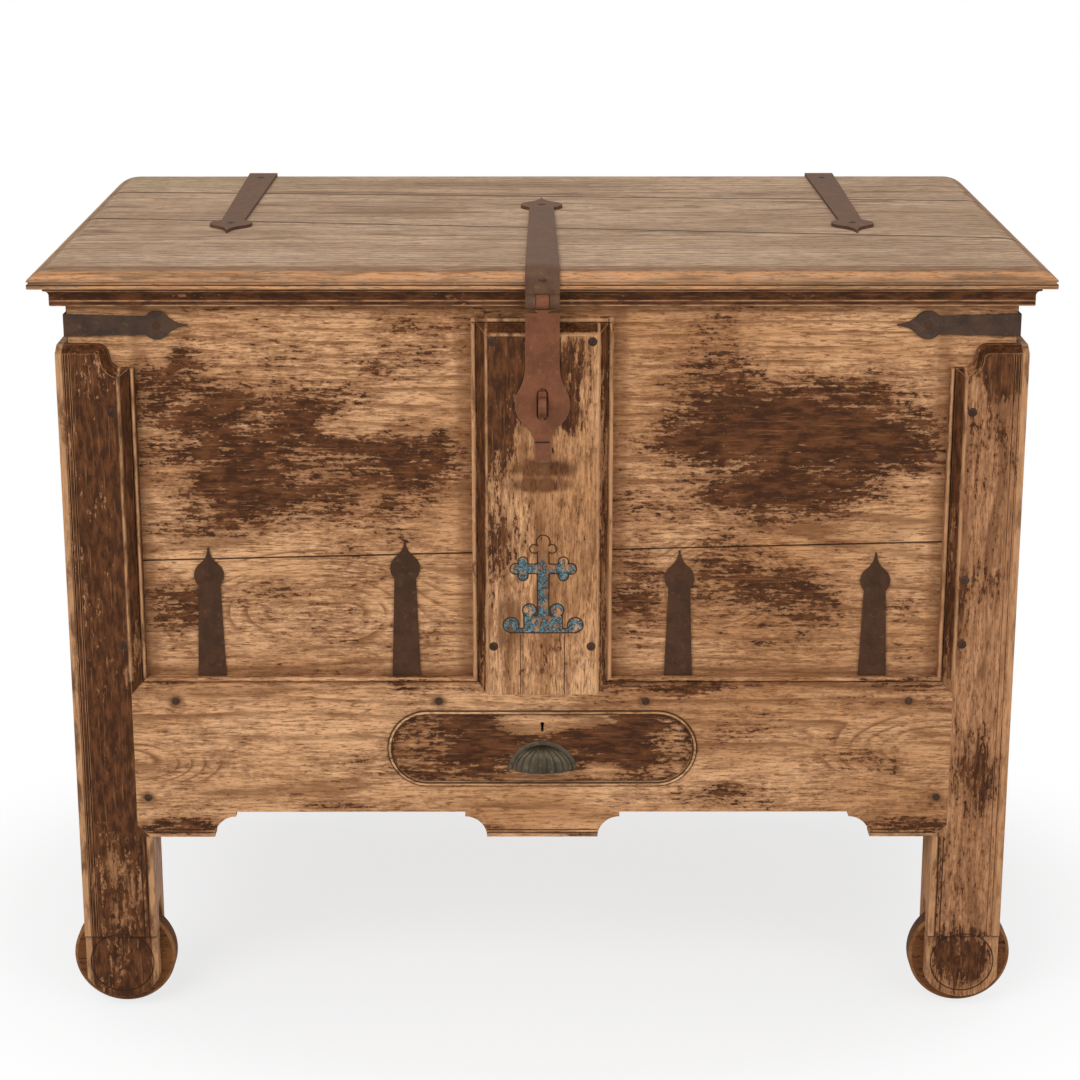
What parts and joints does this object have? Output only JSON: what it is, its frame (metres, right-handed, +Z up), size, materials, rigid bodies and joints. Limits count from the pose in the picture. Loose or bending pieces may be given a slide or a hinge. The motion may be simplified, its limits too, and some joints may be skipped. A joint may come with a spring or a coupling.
{
  "type": "wooden trunk on wheels",
  "caption": "Plank storage trunk on forked posts with wooden wheels, moulded front frame, strap-hinged lid, hasp and staple, iron straps and a round-ended drawer with a cup pull.",
  "frame": {"origin": "on the floor, under the middle of the trunk's box", "axes": "+X to the trunk's right as seen from the front, along its length; +Y to the back; +Z up"},
  "size_m": [1.16, 0.731, 0.9192],
  "materials": {
    "panel_wood": "worn varnish over bare grain",
    "frame_wood": "worn, mostly bare",
    "drawer_wood": "worn varnish",
    "lid_wood": "weathered grey-brown",
    "cornice_wood": "dark varnish, worn arrises",
    "carcass_wood": "bare, aged",
    "wheel_wood": "oiled, worn",
    "strap_iron": "dark rust",
    "hasp_iron": "red-brown rust",
    "pull_bronze": "dark patina",
    "axle_iron": "dark rust",
    "fastener_iron": "dark rust"
  },
  "bodies": {
    "chest": {"apron_nails": "fastener_iron", "back_corner_irons": "strap_iron", "back_left_post": "carcass_wood", "back_lower_board": "carcass_wood", "back_rail": "carcass_wood", "back_right_post": "carcass_wood", "back_upper_board": "carcass_wood", "centre_stile": "frame_wood", "drawer_kicker": "carcass_wood", "drawer_surround": "frame_wood", "floor_back_board": "carcass_wood", "floor_front_board": "carcass_wood", "floor_middle_board": "carcass_wood", "floor_straps": "strap_iron", "frame_screws": "fastener_iron", "front_apron": "frame_wood", "front_corner_irons": "strap_iron", "front_left_post": "frame_wood", "front_lower_board": "panel_wood", "front_right_post": "frame_wood", "front_upper_board": "panel_wood", "hinge_pins": "strap_iron", "iron_screws": "fastener_iron", "left_drawer_runner": "carcass_wood", "left_hinge_leaf": "strap_iron", "left_lower_board": "carcass_wood", "left_side_rail": "carcass_wood", "left_upper_board": "carcass_wood", "right_drawer_runner": "carcass_wood", "right_hinge_leaf": "strap_iron", "right_lower_board": "carcass_wood", "right_side_rail": "carcass_wood", "right_upper_board": "carcass_wood", "staple": "hasp_iron", "wheel_axles": "axle_iron"},
    "lid": {"lid_front_board": "lid_wood", "lid_middle_board": "lid_wood", "lid_back_board": "lid_wood", "front_cornice": "cornice_wood", "left_cornice": "cornice_wood", "right_cornice": "cornice_wood", "lid_battens": "carcass_wood", "left_hinge_strap": "strap_iron", "right_hinge_strap": "strap_iron", "hasp_strap": "hasp_iron", "hasp_pin": "hasp_iron", "lid_screws": "fastener_iron"},
    "hasp": {"hasp": "hasp_iron"},
    "drawer": {"drawer_front": "drawer_wood", "drawer_sides": "carcass_wood", "drawer_bottom": "carcass_wood", "drawer_back": "carcass_wood", "cup_pull": "pull_bronze", "lock_case": "strap_iron"},
    "lock_bolt": {"lock_bolt": "strap_iron"},
    "front_left_wheel": {"front_left_wheel": "wheel_wood"},
    "front_right_wheel": {"front_right_wheel": "wheel_wood"},
    "back_left_wheel": {"back_left_wheel": "wheel_wood"},
    "back_right_wheel": {"back_right_wheel": "wheel_wood"}
  },
  "joints": [
    {"name": "lid_hinge", "type": "hinge", "parent": "chest", "child": "lid", "pos_m": [0, 0.357, 0.884], "axis": [-1, 0, 0], "range_deg": [0, 105]},
    {"name": "hasp_hinge", "type": "hinge", "parent": "lid", "child": "hasp", "pos_m": [0, -0.357, 0.88], "axis": [-1, 0, 0], "range_deg": [0, 150]},
    {"name": "drawer_slide", "type": "slide", "parent": "chest", "child": "drawer", "axis": [0, -1, 0], "range_m": [0, 0.3]},
    {"name": "lock_bolt_slide", "type": "slide", "parent": "drawer", "child": "lock_bolt", "axis": [0, 0, 1], "range_m": [0, 0.01]},
    {"name": "front_left_wheel_spin", "type": "hinge", "parent": "chest", "child": "front_left_wheel", "pos_m": [-0.51, -0.306, 0.0615], "axis": [0, 1, 0], "continuous": true},
    {"name": "front_right_wheel_spin", "type": "hinge", "parent": "chest", "child": "front_right_wheel", "pos_m": [0.51, -0.306, 0.0615], "axis": [0, 1, 0], "continuous": true},
    {"name": "back_left_wheel_spin", "type": "hinge", "parent": "chest", "child": "back_left_wheel", "pos_m": [-0.51, 0.321, 0.0615], "axis": [0, 1, 0], "continuous": true},
    {"name": "back_right_wheel_spin", "type": "hinge", "parent": "chest", "child": "back_right_wheel", "pos_m": [0.51, 0.321, 0.0615], "axis": [0, 1, 0], "continuous": true}
  ]
}
